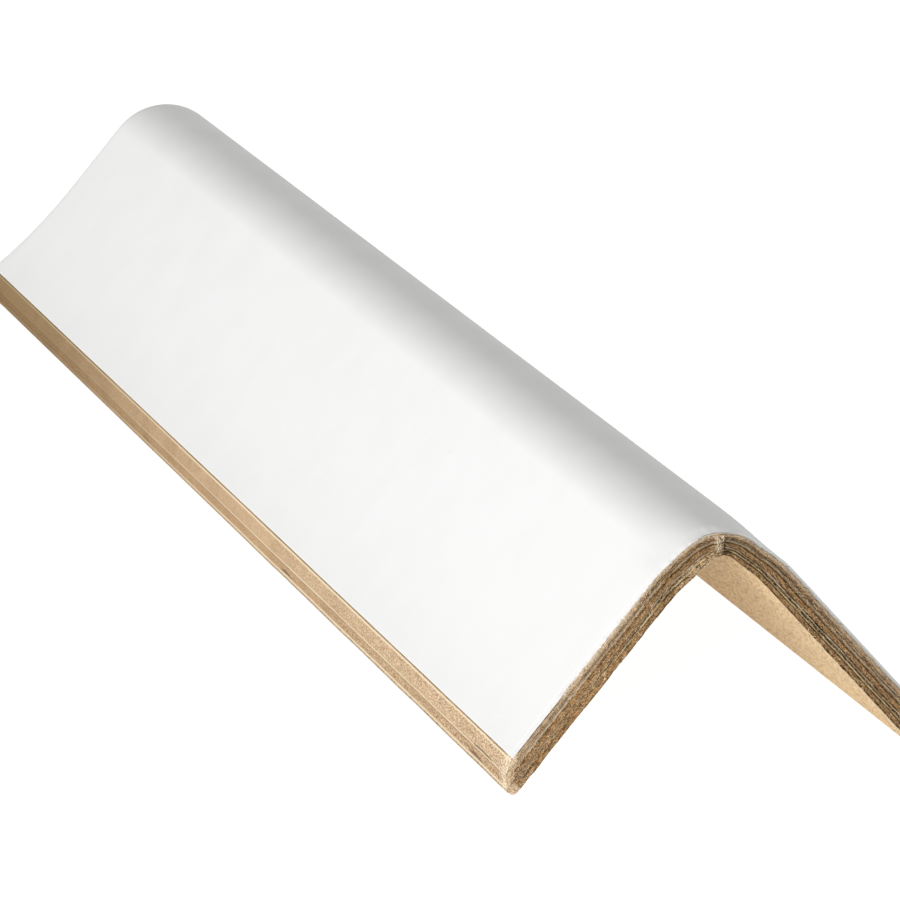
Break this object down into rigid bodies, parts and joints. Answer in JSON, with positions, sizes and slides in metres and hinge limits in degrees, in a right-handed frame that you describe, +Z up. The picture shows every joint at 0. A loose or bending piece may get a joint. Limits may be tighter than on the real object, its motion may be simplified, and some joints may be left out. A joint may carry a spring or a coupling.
{
  "type": "pallet edge protector",
  "caption": "Angle of laminated kraft paperboard with a white facing paper, bent to hug the edge of a palletised load and spread strap pressure along it.",
  "frame": {"origin": "middle of the footprint, on the floor, under the bend", "axes": "+Y along the bend towards the end whose cut runs out, +Z up through the bend, X across the two legs with the left leg at -X"},
  "size_m": [0.0616, 0.3064, 0.0346],
  "materials": {
    "facing_paper": "smooth white liner paper, faintly mottled, with a slight sheen",
    "kraft_board": "matt kraft board, fibrous and layered at the cut ends"
  },
  "bodies": {
    "root": {"white_facing": "facing_paper", "kraft_board": "kraft_board"}
  },
  "joints": []
}
